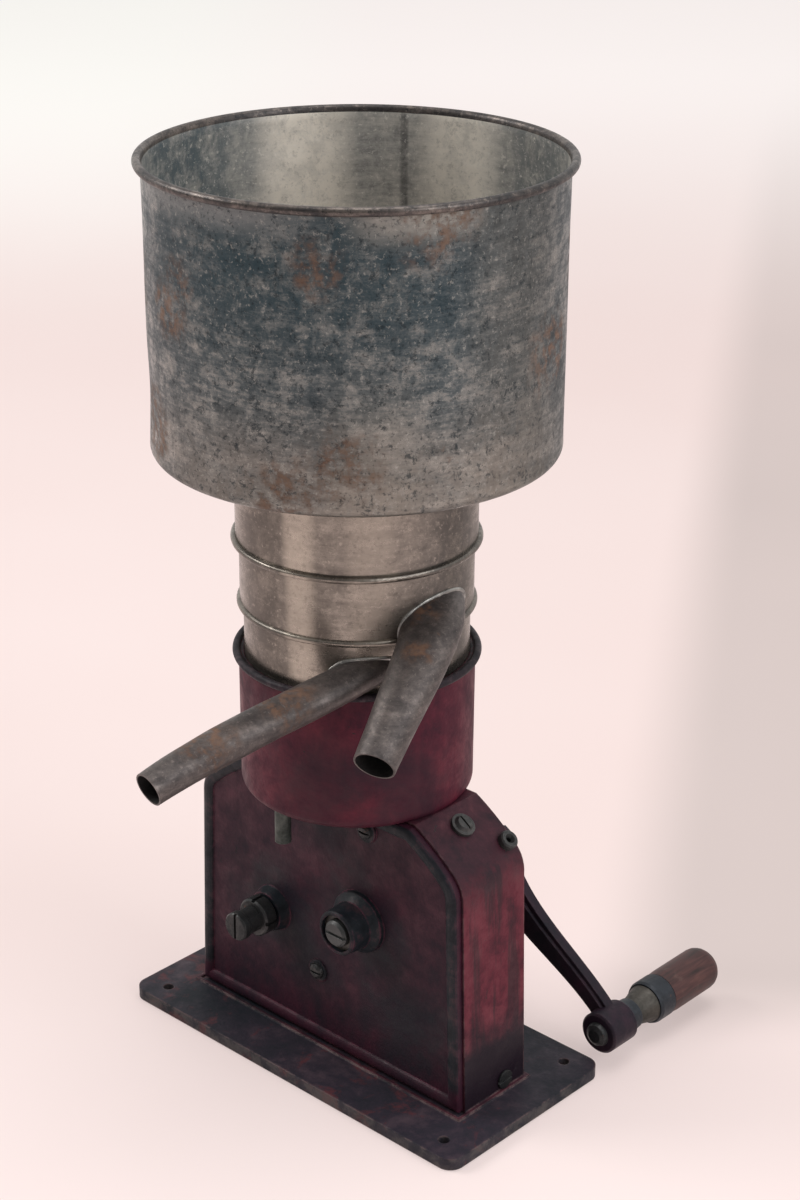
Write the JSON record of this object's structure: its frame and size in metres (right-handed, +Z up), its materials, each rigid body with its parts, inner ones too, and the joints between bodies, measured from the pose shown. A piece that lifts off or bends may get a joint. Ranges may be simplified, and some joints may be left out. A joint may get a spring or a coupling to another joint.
{
  "type": "cream separator",
  "caption": "Table-top hand-crank cream separator with a supply can, open milk and cream spouts, a bowl casing, and a geared case on a screw-down base plate.",
  "frame": {"origin": "centre of the base plate's underside, which is the centre of its four screw holes", "axes": "+Z up along the bowl spindle, +Y towards the crank side, -Y the front cover and the spouts' side, +X right along the base plate"},
  "size_m": [0.2654, 0.3638, 0.5315],
  "materials": {
    "red_paint": "worn gloss over cast iron",
    "cover_paint": "worn gloss over cast iron",
    "casing_paint": "worn gloss over cast iron",
    "crank_paint": "worn dark paint over cast iron",
    "dark_steel": "oily, darkened",
    "bright_steel": "machined",
    "gear_iron": "machined teeth, oiled",
    "bronze": "machined",
    "brass": "dull",
    "pale_metal": "dull",
    "bowl_steel": "tinned",
    "rubber": "matt",
    "aged_tin": "aged tin plate, stained",
    "can_tin": "aged tin plate, mottled with rust",
    "spout_tin": "aged tin plate, rusty",
    "wood": "worn varnish"
  },
  "bodies": {
    "frame": {"gear_case": "red_paint", "front_cover": "cover_paint", "cover_screw": "dark_steel", "oil_level_plug": "dark_steel", "drain_plug": "dark_steel", "oil_cap": "pale_metal", "oil_cup": "pale_metal", "bowl_casing": "casing_paint", "drain_pipe": "pale_metal", "casing_screws": "dark_steel", "neck_bush": "bronze", "neck_ring": "rubber", "neck_cap": "pale_metal", "footstep_cup": "bronze", "thrust_ball": "bright_steel", "crank_bushes": "bronze", "bearing_sleeve": "dark_steel", "sleeve_lock_nut": "dark_steel", "rear_wheel_bush": "bronze"},
    "crank": {"crank_shaft": "bright_steel", "drive_gear": "gear_iron", "crank_arm": "crank_paint", "crank_nut": "dark_steel", "handle_pin": "dark_steel", "handle_collar": "dark_steel"},
    "grip": {"grip_ferrule": "pale_metal", "grip_band": "dark_steel", "wooden_grip": "wood"},
    "wheel": {"wheel_shaft": "bright_steel", "pinion": "gear_iron", "worm_wheel": "bronze"},
    "bowl": {"spindle": "bright_steel", "worm": "bright_steel", "bowl_base": "bowl_steel", "bowl_seal": "rubber", "distributor": "bowl_steel", "disc_stack": "bowl_steel", "bowl_hood": "bowl_steel", "bowl_nut": "bronze"},
    "skim_cover": {"skim_cover": "aged_tin", "skim_spout": "spout_tin"},
    "cream_cover": {"cream_cover": "aged_tin", "cream_spout": "spout_tin"},
    "float_chamber": {"float_chamber": "aged_tin"},
    "float": {"float": "bowl_steel"},
    "can": {"supply_can": "can_tin"},
    "tap": {"tap_plug": "brass", "tap_handle": "brass"}
  },
  "joints": [
    {"name": "bowl_spin", "type": "hinge", "parent": "frame", "child": "bowl", "pos_m": [0, -0.003, 0.1], "axis": [0, 0, 1], "continuous": true},
    {"name": "crank_turn", "type": "hinge", "parent": "frame", "child": "crank", "pos_m": [0.0275, 0.04, 0.102], "axis": [0, 1, 0], "continuous": true},
    {"name": "wheel_turn", "type": "hinge", "parent": "frame", "child": "wheel", "pos_m": [-0.0425, 0, 0.082], "axis": [0, 1, 0], "continuous": true},
    {"name": "grip_spin", "type": "hinge", "parent": "crank", "child": "grip", "pos_m": [0.12217, 0.13, 0.02114], "axis": [0, 1, 0], "continuous": true},
    {"name": "skim_cover_lift", "type": "slide", "parent": "frame", "child": "skim_cover", "axis": [0, 0, 1], "range_m": [0, 0.1]},
    {"name": "cream_cover_lift", "type": "slide", "parent": "skim_cover", "child": "cream_cover", "axis": [0, 0, 1], "range_m": [0, 0.06]},
    {"name": "float_chamber_lift", "type": "slide", "parent": "cream_cover", "child": "float_chamber", "axis": [0, 0, 1], "range_m": [0, 0.06]},
    {"name": "float_rise", "type": "slide", "parent": "float_chamber", "child": "float", "axis": [0, 0, 1], "range_m": [0, 0.015]},
    {"name": "can_lift", "type": "slide", "parent": "float_chamber", "child": "can", "axis": [0, 0, 1], "range_m": [0, 0.06]},
    {"name": "tap_turn", "type": "hinge", "parent": "can", "child": "tap", "pos_m": [0, -0.003, 0.38], "axis": [0, 0, 1], "range_deg": [0, 90]}
  ],
  "couplings": [
    {"joint": "crank_turn", "follows": "bowl_spin", "ratio": 0.013228},
    {"joint": "wheel_turn", "follows": "bowl_spin", "ratio": -0.055556}
  ]
}
